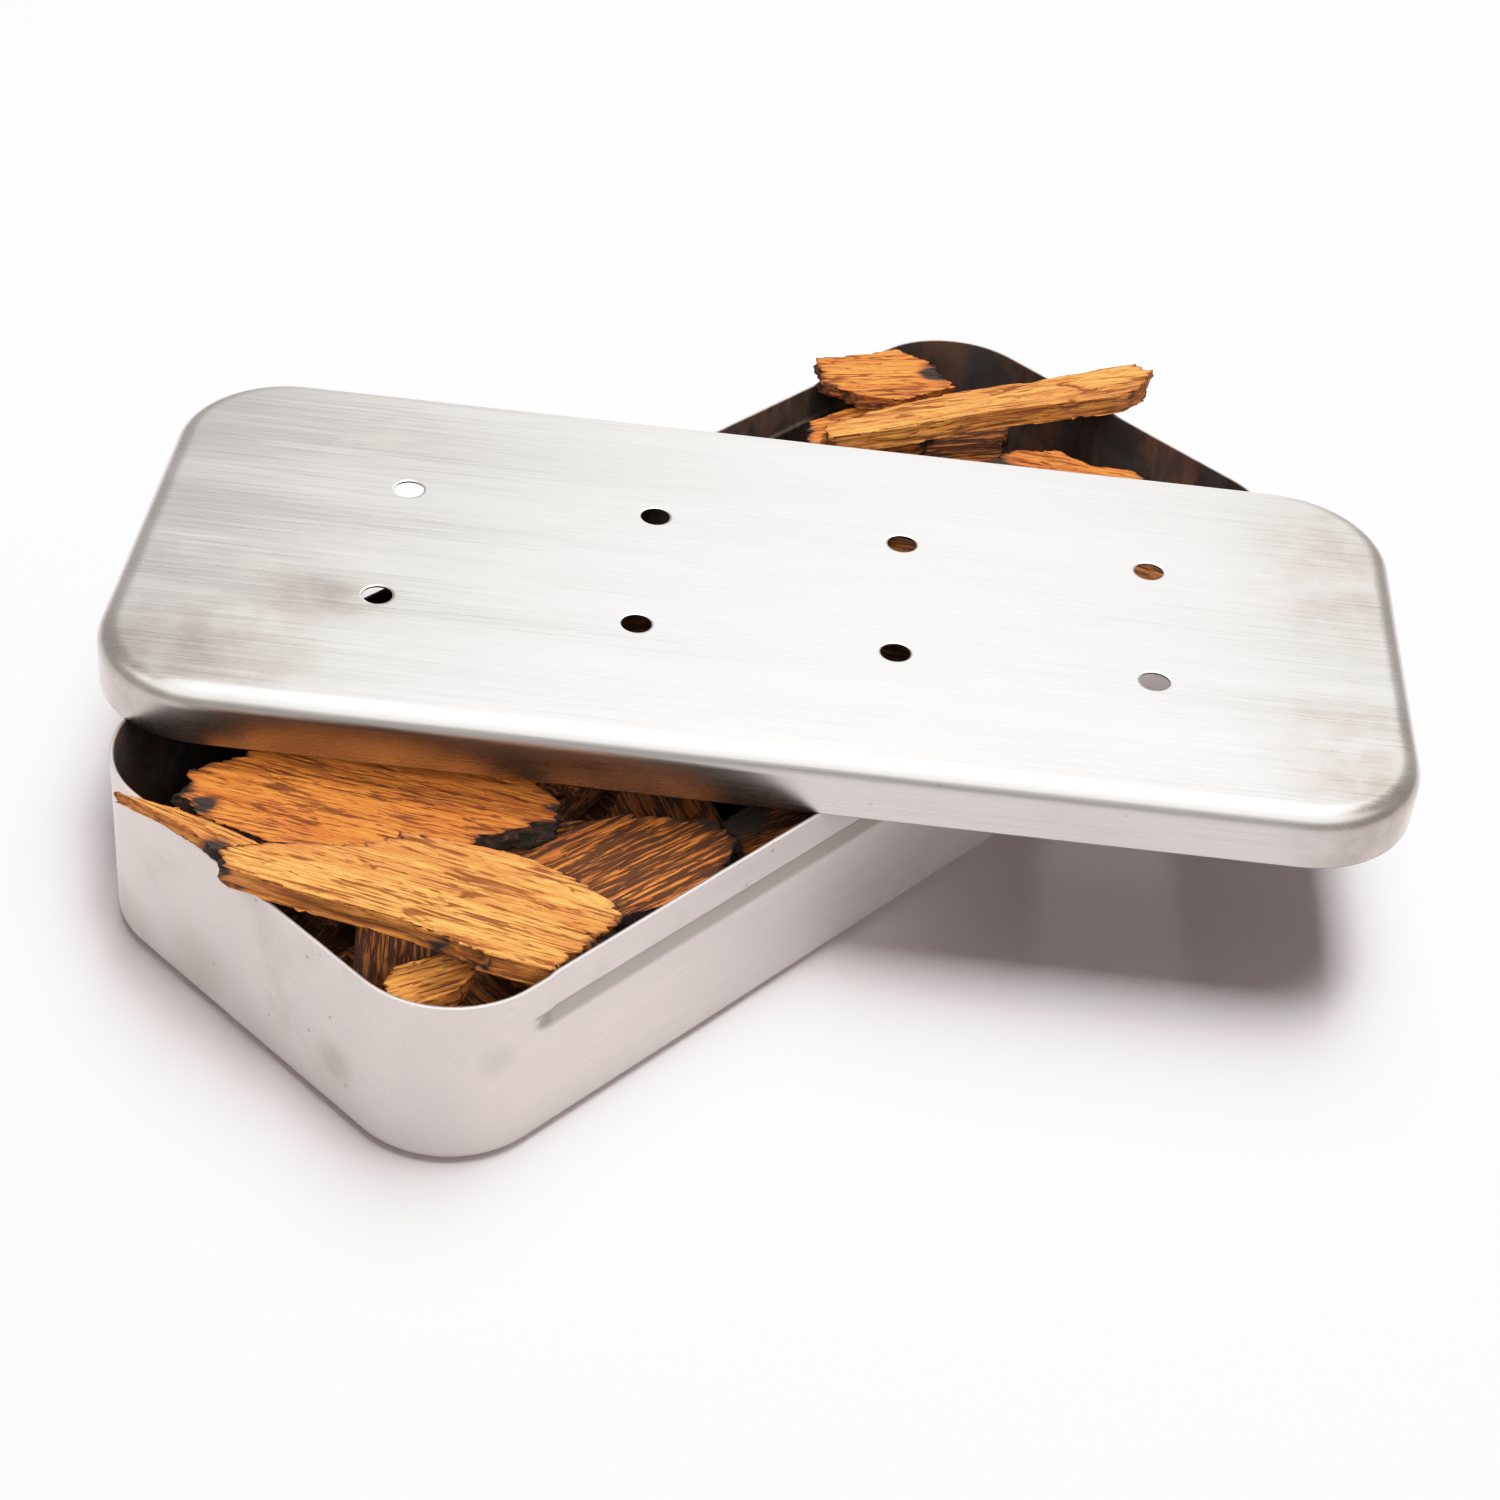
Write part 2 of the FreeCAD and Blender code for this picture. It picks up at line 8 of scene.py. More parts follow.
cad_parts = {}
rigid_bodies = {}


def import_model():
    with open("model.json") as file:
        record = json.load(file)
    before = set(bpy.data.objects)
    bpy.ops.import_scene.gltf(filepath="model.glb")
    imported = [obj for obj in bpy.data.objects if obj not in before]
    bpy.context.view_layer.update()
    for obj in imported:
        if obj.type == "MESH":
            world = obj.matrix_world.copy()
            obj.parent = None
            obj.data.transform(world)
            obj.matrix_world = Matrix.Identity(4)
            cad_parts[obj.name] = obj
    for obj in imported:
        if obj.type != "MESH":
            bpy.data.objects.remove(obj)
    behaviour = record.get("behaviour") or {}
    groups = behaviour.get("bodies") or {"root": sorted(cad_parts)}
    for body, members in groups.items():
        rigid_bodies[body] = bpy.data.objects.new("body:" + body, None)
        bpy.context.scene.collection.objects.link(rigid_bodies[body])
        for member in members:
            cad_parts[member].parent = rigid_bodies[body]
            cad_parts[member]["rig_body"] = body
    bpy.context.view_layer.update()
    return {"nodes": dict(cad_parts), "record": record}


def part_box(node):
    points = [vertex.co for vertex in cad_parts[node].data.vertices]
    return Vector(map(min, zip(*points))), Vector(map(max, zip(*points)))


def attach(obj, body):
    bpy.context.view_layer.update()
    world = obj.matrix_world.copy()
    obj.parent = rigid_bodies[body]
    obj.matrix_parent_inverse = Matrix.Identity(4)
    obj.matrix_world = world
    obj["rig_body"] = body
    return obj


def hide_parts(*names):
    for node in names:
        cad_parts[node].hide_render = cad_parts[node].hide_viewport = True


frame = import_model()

# ---- sizes and places, in metres and degrees
MM = 0.001

TRAY_LOW, TRAY_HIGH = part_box("tray")
TRAY_SIZE = [high - low for low, high in zip(TRAY_LOW, TRAY_HIGH)]
TRAY_CORNER = 0.0175           # outer radius of the upright corners
TRAY_ROUNDING = 0.0025         # outer radius round the tray's floor
SHEET = 0.0006                 # thickness of the pressed steel
CUT_EDGE = 0.0002              # the strip along a rim that stays sharp

LID_LOW, LID_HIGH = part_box("lid")
LID_MIDDLE = [(low + high) / 2 for low, high in zip(LID_LOW, LID_HIGH)][:2]
LID_HEIGHT = LID_HIGH[2] - LID_LOW[2]
LID_SIZE = (0.2142, 0.0942)
LID_TURN = -49.8               # the lid's turn on the tray
LID_CORNER = 0.01965
LID_ROUNDING = 0.0034          # outer radius round the lid's top
VENT_RADIUS = 0.0025
VENT_PITCH = (0.0427, 0.0316)  # from one vent to the next, along the lid and across it
VENT_COLUMNS = 4
VENT_LIP = 0.0005              # width of the soft edge round each vent
VENT_SINK = 0.00008            # how far that edge sinks
VENT_LIP_MIDDLE = 0.86         # where it begins to sink, as a part of its outer radius

BEAD_TOP = 0.0255              # the stiffening bead along each long wall
BEAD_FOOT = 0.0197
BEAD_DEPTH = 0.001
BEAD_HALF = 0.087
BEAD_RUN = 0.006               # length over which its ends fade out
BEAD_CREASE = 0.0007           # height over which its upper crease steps inward
BEAD_SHADE_MIDDLE = 0.0236          # the level that the painted shade along the bead is centred on
BEAD_SHADE_END = 0.004              # from the round end of the painted shade to the bead's
BAND_DEPTH = 0.0003            # how far the band above the bead is set in
BAND_HALF = 0.084

# Each dark patch is (x, y, z, reach, narrowing across, strength) in its brushing's own turn.
TRAY_STAINS = ((-0.105, -0.021, 0.011, 0.006, 1.0, 0.3), (-0.105, 0.012, 0.008, 0.010, 1.0, 0.2),
               (-0.093, -0.045, 0.020, 0.005, 1.0, 0.16), (-0.105, 0.030, 0.005, 0.009, 1.0, 0.22))
# The lid's patches are partly heat stains and partly painted shade: they darken its ends and its right skirt,
# where darker surroundings are mirrored.
LID_STAINS_AND_SHADE = ((-0.068, -0.020, 0.042, 0.017, 1.8, 0.5), (-0.086, -0.038, 0.042, 0.031, 1.5, 0.5),
              (-0.098, 0.032, 0.042, 0.022, 1.0, 0.12), (0.100, -0.030, 0.042, 0.024, 1.0, 0.45),
              (0.101, 0.020, 0.042, 0.024, 0.6, 0.4), (0.105, -0.044, 0.034, 0.020, 1.0, 0.5))

CAMERA_PLACE = (-0.3051, -0.2685, 0.3267)
CAMERA_TURN = -139.32
CAMERA_RISE = 38.41
CAMERA_ROLL = 6.09
CAMERA_LENS = 70.6
CAMERA_RIGHT = Vector((-math.sin(math.radians(CAMERA_TURN)), math.cos(math.radians(CAMERA_TURN)), 0))


# ======================================================================= shader helpers
def new_group(name, inputs, outputs):
    """A shader node group with (name, kind, default) inputs and (name, kind) outputs."""
    group = bpy.data.node_groups.new(name, "ShaderNodeTree")
    for label, kind, default in inputs:
        socket = group.interface.new_socket(label, in_out="INPUT", socket_type="NodeSocket" + kind)
        socket.default_value = default
    for label, kind in outputs:
        group.interface.new_socket(label, in_out="OUTPUT", socket_type="NodeSocket" + kind)
    return group, Wiring(group.nodes, group.links)


class Wiring:
    """Short ways to add and join shader nodes in one tree."""

    def __init__(self, nodes, links):
        self.nodes = nodes
        self.links = links

    def add(self, kind, **settings):
        node = self.nodes.new("ShaderNode" + kind)
        for key, value in settings.items():
            setattr(node, key, value)
        return node

    def feed(self, socket, value):
        """Joins an output to a socket, or sets the socket's own value."""
        if isinstance(value, bpy.types.NodeSocket):
            self.links.new(value, socket)
        else:
            socket.default_value = value

    def math(self, operation, a, b=0.0, clamp=False):
        node = self.add("Math", operation=operation, use_clamp=clamp)
        self.feed(node.inputs[0], a)
        self.feed(node.inputs[1], b)
        return node.outputs[0]

    def spread(self, value, low, high, to_low=0.0, to_high=1.0, smooth=True):
        """A value carried from one range to another, and held at its ends."""
        node = self.add("MapRange", clamp=True)
        node.interpolation_type = "SMOOTHSTEP" if smooth else "LINEAR"
        for name, item in (("Value", value), ("From Min", low), ("From Max", high),
                           ("To Min", to_low), ("To Max", to_high)):
            self.feed(node.inputs[name], item)
        return node.outputs["Result"]

    def blend(self, factor, a, b, mode="MIX"):
        node = self.add("Mix", data_type="RGBA", blend_type=mode)
        self.feed(node.inputs["Factor"], factor)
        self.feed(node.inputs[6], a)
        self.feed(node.inputs[7], b)
        return node.outputs[2]

    def stretched(self, vector, scale=(1, 1, 1), turn=(0, 0, 0), place=(0, 0, 0)):
        node = self.add("Mapping")
        self.feed(node.inputs["Vector"], vector)
        node.inputs["Scale"].default_value = scale
        node.inputs["Rotation"].default_value = turn
        node.inputs["Location"].default_value = place
        return node.outputs[0]

    def noise(self, vector, scale, detail=4.0, rough=0.5, bend=0.0):
        node = self.add("TexNoise")
        self.feed(node.inputs["Vector"], vector)
        self.feed(node.inputs["Scale"], scale)
        node.inputs["Detail"].default_value = detail
        node.inputs["Roughness"].default_value = rough
        node.inputs["Distortion"].default_value = bend
        return node.outputs["Fac"]

    def group(self, tree, **values):
        node = self.add("Group")
        node.node_tree = tree
        for key, value in values.items():
            self.feed(node.inputs[key], value)
        return node


def new_material(name):
    """A material with its Principled shader and a Wiring for its nodes."""
    material = bpy.data.materials.new(name)
    material.use_nodes = True
    wiring = Wiring(material.node_tree.nodes, material.node_tree.links)
    return material, wiring, material.node_tree.nodes["Principled BSDF"]


def bump_into(wiring, shader, height, strength, distance):
    node = wiring.add("Bump")
    node.inputs["Strength"].default_value = strength
    node.inputs["Distance"].default_value = distance
    wiring.feed(node.inputs["Height"], height)
    wiring.feed(shader.inputs["Normal"], node.outputs[0])


# ======================================================================= wood
def make_wood_group():
    """Split wood: fibres, growth bands and short dark pores along the grain, dark pits, painted shade on the
    flanks, and charred spots.
    """
    group, w = new_group("Split wood",
                         [("Light", "Color", (0.75, 0.38, 0.12, 1)), ("Warm", "Color", (0.5, 0.18, 0.04, 1)),
                          ("Deep", "Color", (0.09, 0.03, 0.01, 1)), ("Stripes", "Float", 0.3)],
                         [("Color", "Color"), ("Roughness", "Float"), ("Height", "Float")])
    inside = w.nodes.new("NodeGroupInput")
    outside = w.nodes.new("NodeGroupOutput")
    grain = w.add("Attribute", attribute_name="grain").outputs["Vector"]
    pit_and_flank_shade = w.add("Attribute", attribute_name="pit_and_flank_shade").outputs["Fac"]
    char = w.add("Attribute", attribute_name="char").outputs["Fac"]
    fibre = w.noise(w.stretched(grain, (0.07, 1, 1)), 2600, 4, 0.65)
    strand = w.noise(w.stretched(grain, (0.05, 1, 1)), 900, 3, 0.6, 0.4)
    band = w.noise(w.stretched(grain, (0.12, 1, 0.6)), 150, 3, 0.5, 0.6)
    pores = w.noise(w.stretched(grain, (0.10, 1, 1)), 2300, 2, 0.5)
    gaps = w.noise(w.stretched(grain, (0.06, 1, 1)), 1350, 4, 0.62, 0.3)
    seams = w.noise(w.stretched(grain, (0.022, 1, 1)), 620, 3, 0.55, 0.25)
    crowd = w.noise(w.stretched(grain, (0.3, 1, 1)), 130, 2, 0.5)
    patchy = w.noise(w.stretched(grain, (0.2, 1, 1)), 260, 2, 0.5)
    thread = w.noise(w.stretched(grain, (0.055, 1, 1)), 3400, 3, 0.7)
    tone = w.math("ADD", w.math("MULTIPLY", fibre, 0.3),
                  w.math("ADD", w.math("MULTIPLY", strand, 0.35), w.math("MULTIPLY", band, 0.35)))
    base = w.blend(w.spread(tone, 0.4, 0.6), inside.outputs["Warm"], inside.outputs["Light"])
    base = w.blend(w.spread(thread, 0.5, 0.66, 0, 0.6), base, inside.outputs["Warm"], "MULTIPLY")
    pore_mask = w.spread(w.math("ADD", pores, w.math("MULTIPLY", crowd, 0.12)), 0.70, 0.745)
    stripes = w.math("MULTIPLY", inside.outputs["Stripes"], 0.19)
    cover = w.math("ADD", stripes, w.math("MULTIPLY", crowd, 0.15))
    gap_mask = w.spread(w.math("ADD", gaps, cover), 0.69, 0.75)
    seam_gap = w.math("ABSOLUTE", w.math("SUBTRACT", seams, 0.5))
    seam_mask = w.math("MULTIPLY", w.spread(seam_gap, 0.003, 0.016, 1, 0), w.spread(patchy, 0.38, 0.54))
    # Pits, and painted shade on the chips' flanks.
    pit_and_flank_shade_mask = w.spread(pit_and_flank_shade, 0.25, 0.8)
    dark = w.math("MAXIMUM", w.math("MULTIPLY", pore_mask, 0.8), w.math("MAXIMUM", gap_mask, pit_and_flank_shade_mask))
    dark = w.math("MAXIMUM", dark, seam_mask)
    base = w.blend(w.math("MULTIPLY", dark, 0.9), base, inside.outputs["Deep"])
    ragged = w.math("ADD", char, w.math("MULTIPLY", w.math("SUBTRACT", strand, 0.5), 1.2))
    burnt = w.spread(ragged, 0.4, 0.75)
    scorch = w.spread(ragged, 0.0, 0.55)
    base = w.blend(w.math("MULTIPLY", scorch, 0.6), base, inside.outputs["Deep"])
    base = w.blend(burnt, base, (0.017, 0.011, 0.008, 1))
    raised = w.math("ADD", w.math("MULTIPLY", fibre, 0.45), w.math("MULTIPLY", strand, 0.7))
    sunk = w.math("ADD", w.math("MULTIPLY", dark, 0.6), w.math("MULTIPLY", thread, 0.3))
    rough = w.math("ADD", w.spread(dark, 0, 1, 0.6, 0.85), w.math("MULTIPLY", burnt, 0.15), clamp=True)
    w.feed(outside.inputs["Color"], base)
    w.feed(outside.inputs["Roughness"], rough)
    w.feed(outside.inputs["Height"], w.math("SUBTRACT", raised, sunk))
    return group


def make_wood(name, light, warm, deep, stripes):
    material, w, shader = new_material(name)
    wood = w.group(WOOD_GROUP, Light=light, Warm=warm, Deep=deep, Stripes=stripes)
    w.feed(shader.inputs["Base Color"], wood.outputs["Color"])
    w.feed(shader.inputs["Roughness"], wood.outputs["Roughness"])
    shader.inputs["Specular IOR Level"].default_value = 0.16
    bump_into(w, shader, wood.outputs["Height"], 0.85, 0.0006)
    return material


# ======================================================================= steel
def make_brushing_group():
    """Brush lines along X of the given coordinates: a height, a roughness shift and a tone."""
    group, w = new_group("Brushed steel", [("Vector", "Vector", (0, 0, 0))],
                         [("Height", "Float"), ("Roughness", "Float"), ("Tone", "Float")])
    inside = w.nodes.new("NodeGroupInput")
    outside = w.nodes.new("NodeGroupOutput")
    place = inside.outputs["Vector"]
    hair = w.noise(w.stretched(place, (0.012, 1, 1)), 5200, 3, 0.6)
    line = w.noise(w.stretched(place, (0.02, 1, 1)), 1500, 3, 0.6)
    sweep = w.noise(w.stretched(place, (0.1, 1, 1)), 90, 2, 0.5)
    both = w.math("ADD", w.math("MULTIPLY", hair, 0.6), w.math("MULTIPLY", line, 0.4))
    w.feed(outside.inputs["Height"], both)
    w.feed(outside.inputs["Roughness"], w.math("ADD", w.spread(both, 0.3, 0.7, -0.05, 0.06, smooth=False),
                                              w.spread(sweep, 0.3, 0.7, -0.02, 0.02)))
    w.feed(outside.inputs["Tone"], w.math("ADD", w.spread(both, 0.3, 0.7, 0.90, 1.08, smooth=False),
                                         w.spread(sweep, 0.3, 0.7, -0.03, 0.03)))
    return group


def make_smudge_group():
    """Handling marks: broad cloudy smudges and a few dark specks."""
    group, w = new_group("Smudges", [("Vector", "Vector", (0, 0, 0)), ("Amount", "Float", 1.0)],
                         [("Cloud", "Float"), ("Specks", "Float")])
    inside = w.nodes.new("NodeGroupInput")
    outside = w.nodes.new("NodeGroupOutput")
    cloud = w.noise(inside.outputs["Vector"], 55, 5, 0.6, 0.4)
    patch = w.noise(inside.outputs["Vector"], 23, 2, 0.5)
    cells = w.add("TexVoronoi", feature="F1")
    w.feed(cells.inputs["Vector"], inside.outputs["Vector"])
    cells.inputs["Scale"].default_value = 230
    near = w.spread(cells.outputs["Distance"], 0.05, 0.11, 1, 0)
    rare = w.spread(patch, 0.56, 0.62)
    smudges = w.math("MULTIPLY", w.spread(cloud, 0.5, 0.72), w.spread(patch, 0.42, 0.6))
    specks = w.math("MULTIPLY", near, rare)
    w.feed(outside.inputs["Cloud"], w.math("MULTIPLY", smudges, inside.outputs["Amount"]))
    w.feed(outside.inputs["Specks"], w.math("MULTIPLY", specks, inside.outputs["Amount"]))
    return group


def stain_and_shade_patch(w, color, along, dark_patch):
    """The colour with one soft round dark patch laid over it: a stain, which on the lid is partly painted
    shade.
    """
    x, y, z, reach, narrowing, strength = dark_patch
    scale = Vector((1, narrowing, 1)) / reach
    spot = w.stretched(along, scale, place=[-a * b for a, b in zip((x, y, z), scale)])
    length = w.add("VectorMath", operation="LENGTH")
    w.feed(length.inputs[0], spot)
    mask = w.spread(length.outputs["Value"], 0.15, 1.0, 1, 0)
    mask = w.math("MULTIPLY", mask, w.spread(w.noise(along, 160, 4, 0.6), 0.3, 0.65, 0.45, 1.0))
    return w.blend(w.math("MULTIPLY", mask, strength), color, (0.17, 0.125, 0.095, 1))


def make_steel(name, turn, tint, roughness, smudge, dark_patches):
    """Stainless sheet brushed along the piece; the side that faces the chips is darkened, partly by soot and
    partly as painted shade of the dim inside.
    """
    material, w, shader = new_material(name)
    place = w.add("TexCoord").outputs["Object"]
    along = w.stretched(place, turn=(0, 0, math.radians(-turn)))
    inner = w.add("Attribute", attribute_name="inner").outputs["Fac"]
    painted_bead_shade = w.add("Attribute", attribute_name="painted_bead_shade").outputs["Fac"]
    brushed = w.group(BRUSHING_GROUP, Vector=along)
    marks = w.group(SMUDGE_GROUP, Vector=along, Amount=smudge)
    color = w.blend(1.0, tint, brushed.outputs["Tone"], "MULTIPLY")
    color = w.blend(w.math("MULTIPLY", marks.outputs["Cloud"], 0.3), color, (0.30, 0.25, 0.20, 1))
    color = w.blend(w.math("MULTIPLY", marks.outputs["Specks"], 0.7), color, (0.10, 0.08, 0.07, 1))
    # Painted shade along the tray's bead and in its crease.
    color = w.blend(w.math("MULTIPLY", painted_bead_shade, 0.7), color, (0.15, 0.135, 0.10, 1))
    # Stains; on the lid partly painted shade at its ends and right skirt.
    for dark_patch in dark_patches:
        color = stain_and_shade_patch(w, color, along, dark_patch)
    rough = w.math("ADD", brushed.outputs["Roughness"], roughness)
    rough = w.math("ADD", rough, w.math("MULTIPLY", marks.outputs["Cloud"], 0.12))
    # The side that faces the chips: soot, and painted shade of the dim inside.
    cloud = w.noise(place, 70, 4, 0.6)
    soot_and_shade = w.math("MULTIPLY", inner, w.spread(cloud, 0.25, 0.7, 0.85, 1.0))
    burnt = w.noise(w.stretched(place, (1, 1, 0.4)), 95, 4, 0.65, 0.6)
    soot_film_and_shade = w.blend(w.spread(burnt, 0.44, 0.66), (0.040, 0.032, 0.028, 1), (0.20, 0.095, 0.05, 1))
    color = w.blend(soot_and_shade, color, soot_film_and_shade)
    rough = w.math("ADD", rough, w.math("MULTIPLY", soot_and_shade, 0.2))
    w.feed(shader.inputs["Base Color"], color)
    w.feed(shader.inputs["Roughness"], rough)
    w.feed(shader.inputs["Metallic"], w.spread(soot_and_shade, 0.0, 1.0, 1.0, 0.5))
    bump_into(w, shader, brushed.outputs["Height"], 0.16, 0.00008)
    return material


# ======================================================================= sheet metal
def pan_shell(length, width, height, corner, rounding, cuts):
    """The outer skin of a pan that is open at its top: a box with its uprights and its floor rounded."""
    bm = bmesh.new()
    bmesh.ops.create_cube(bm, size=1)
    bmesh.ops.scale(bm, verts=bm.verts[:], vec=(length, width, height))
    bmesh.ops.translate(bm, verts=bm.verts[:], vec=(0, 0, height / 2))
    uprights = [e for e in bm.edges if abs(e.verts[0].co.z - e.verts[1].co.z) > height / 2]
    bmesh.ops.bevel(bm, geom=uprights, offset=corner, segments=18, profile=0.5, affect="EDGES", material=-1)
    low_edges = [e for e in bm.edges if all(v.co.z < height * 0.01 for v in e.verts)]
    outline = [e for e in low_edges if any(abs(f.normal.z) < 0.5 for f in e.link_faces)]
    bmesh.ops.bevel(bm, geom=outline, offset=rounding, segments=7, profile=0.5, affect="EDGES", material=-1)
    lids = [f for f in bm.faces if f.calc_center_median().z > height * 0.99]
    bmesh.ops.delete(bm, geom=lids, context="FACES")
    for normal, places in cuts:
        for place in places:
            bmesh.ops.bisect_plane(bm, geom=bm.verts[:] + bm.edges[:] + bm.faces[:], dist=1e-7,
                                   plane_co=Vector(normal) * place, plane_no=normal)
    bmesh.ops.recalc_face_normals(bm, faces=bm.faces[:])
    return bm


def loops_of(edges):
    """Sorts edges into loops that touch one another at their ends."""
    left = set(edges)
    loops = []
    for first in edges:
        if first in left:
            left.remove(first)
            loop = [first]
            for edge in loop:
                for touching in [e for v in edge.verts for e in v.link_edges if e in left]:
                    left.discard(touching)
                    loop.append(touching)
            loops.append(loop)
    return loops


def line_with_sheet(bm):
    """Doubles the skin inward by the sheet's thickness, marks the inner side, and closes the rim."""
    inner = bm.verts.layers.float.new("inner")
    bm.normal_update()
    offsets = {}
    for v in bm.verts:
        stretch = 1 / max(0.35, sum((f.normal.dot(v.normal) for f in v.link_faces)) / len(v.link_faces))
        offsets[v] = v.normal * (-SHEET * stretch)
    rims = loops_of([e for e in bm.edges if e.is_boundary])
    copy = bmesh.ops.duplicate(bm, geom=bm.verts[:] + bm.edges[:] + bm.faces[:])
    twins = copy["vert_map"]
    for v, offset in offsets.items():
        twins[v].co += offset
        twins[v][inner] = 1.0
    bmesh.ops.reverse_faces(bm, faces=[f for f in copy["geom"] if isinstance(f, bmesh.types.BMFace)])
    for rim in rims:
        bmesh.ops.bridge_loops(bm, edges=rim + [copy["edge_map"][e] for e in rim])


def finish_sheet(bm, name, material):
    """Makes the smooth-shaded piece that stands for one steel node."""
    bmesh.ops.recalc_face_normals(bm, faces=bm.faces[:])
    mesh = bpy.data.meshes.new(name + "_sheet")
    bm.to_mesh(mesh)
    bm.free()
    mesh.polygons.foreach_set("use_smooth", [True] * len(mesh.polygons))
    mesh.materials.append(material)
    piece = bpy.data.objects.new(name + "_sheet", mesh)
    bpy.context.scene.collection.objects.link(piece)
    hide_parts(name)
    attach(piece, frame["nodes"][name]["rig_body"])


def smooth_step(value, low, high):
    t = min(1.0, max(0.0, (value - low) / (high - low)))
    return t * t * (3 - 2 * t)


def wall_press(x, z):
    """How far the long walls are pressed in at a place: the bead and the band above it."""
    fade = 1 - smooth_step(abs(x), BEAD_HALF - BEAD_RUN, BEAD_HALF)
    height = BEAD_TOP - BEAD_FOOT
    up = (z - BEAD_FOOT) / height
    bead = 0.0
    if 0 < up < 1:
        crease = 1 - smooth_step(z, BEAD_TOP - BEAD_CREASE, BEAD_TOP)
        bead = BEAD_DEPTH * up ** 1.2 * crease
    band = BAND_DEPTH * (1 - smooth_step(abs(x), BAND_HALF - 0.002, BAND_HALF))
    band *= smooth_step(z, BEAD_TOP - 0.0009, BEAD_TOP - 0.0002)
    return max(bead * fade, band)


def wall_painted_shade(x, z):
    """How much painted shade lies on the bead at a place: a stripe with a round dark end, and a dark line in
    the crease.
    """
    crease = smooth_step(z, BEAD_TOP - 0.0010, BEAD_TOP - 0.0004)
    beyond = max(0.0, abs(x) - BEAD_HALF + BEAD_SHADE_END) / 0.0035
    level = abs(z - BEAD_SHADE_MIDDLE) / (BEAD_TOP - BEAD_SHADE_MIDDLE)
    reach = 1 - smooth_step(math.hypot(beyond, level), 0.72, 1.08)
    spot = 1 - smooth_step(math.hypot(beyond - 0.1, level * 1.2), 0.1, 0.85)
    return min(1.0, 0.72 * reach + 0.8 * spot * (beyond > 0) + 0.75 * crease * (beyond < 0.9))


def make_tray(material):
    """The tray, with its walls cut finely enough along and up the bead to press it in."""
    length, width, height = TRAY_SIZE
    half = width / 2
    along = [i * 3.5 * MM for i in range(-24, 25)]
    along += [side * (BEAD_HALF - i * 0.9 * MM) for side in (-1, 1) for i in range(8)]
    levels = [BEAD_FOOT + i * 0.45 * MM for i in range(10)] + [BEAD_TOP - i * 0.18 * MM for i in range(-1, 7)]
    levels += [6 * MM, 13 * MM, 29 * MM, height - CUT_EDGE]
    bm = pan_shell(length, width, height, TRAY_CORNER, TRAY_ROUNDING,
                   (((1, 0, 0), along), ((0, 0, 1), levels)))
    line_with_sheet(bm)
    straight = length / 2 - TRAY_CORNER
    painted_bead_shade = bm.verts.layers.float.new("painted_bead_shade")
    for v in bm.verts:
        if abs(abs(v.co.y) - half) < SHEET * 1.5 and abs(v.co.x) < straight:
            v.co.y -= math.copysign(wall_press(v.co.x, v.co.z), v.co.y)
            # The painted shade along the bead.
            if v.co.z < BEAD_TOP + 0.1 * MM:
                v[painted_bead_shade] = wall_painted_shade(v.co.x, v.co.z)
        v.co.z = min(v.co.z, height)
    finish_sheet(bm, "tray", material)


def in_vent(face):
    """Whether a face of the lid's top lies in one of the vent holes."""
    middle = face.calc_center_median()
    column = round(middle.x / VENT_PITCH[0] - 0.5) + 0.5
    row = math.copysign(0.5, middle.y)
    place = Vector((column * VENT_PITCH[0], row * VENT_PITCH[1]))
    reach = VENT_RADIUS + VENT_LIP + 0.1 * MM
    return abs(column) < VENT_COLUMNS / 2 and all((v.co.xy - place).length < reach for v in face.verts)


def vent_lip(bm, place):
    """Adds the soft edge round one vent, and gives the edges of its outer ring."""
    outer = bmesh.ops.create_circle(bm, segments=32, radius=VENT_RADIUS + VENT_LIP, matrix=place)["verts"]
    ring = list(dict.fromkeys(e for v in outer for e in v.link_edges))
    inward = VENT_RADIUS / ((VENT_RADIUS + VENT_LIP) * VENT_LIP_MIDDLE)
    edges = ring
    for shrink, sink in ((VENT_LIP_MIDDLE, 0), (inward, VENT_SINK)):
        lip = bmesh.ops.extrude_edge_only(bm, edges=edges)["geom"]
        verts = [v for v in lip if isinstance(v, bmesh.types.BMVert)]
        edges = [e for e in lip if isinstance(e, bmesh.types.BMEdge)]
        bmesh.ops.scale(bm, verts=verts, vec=(shrink, shrink, 1), space=place.inverted())
        bmesh.ops.translate(bm, verts=verts, vec=(0, 0, sink))
    return ring


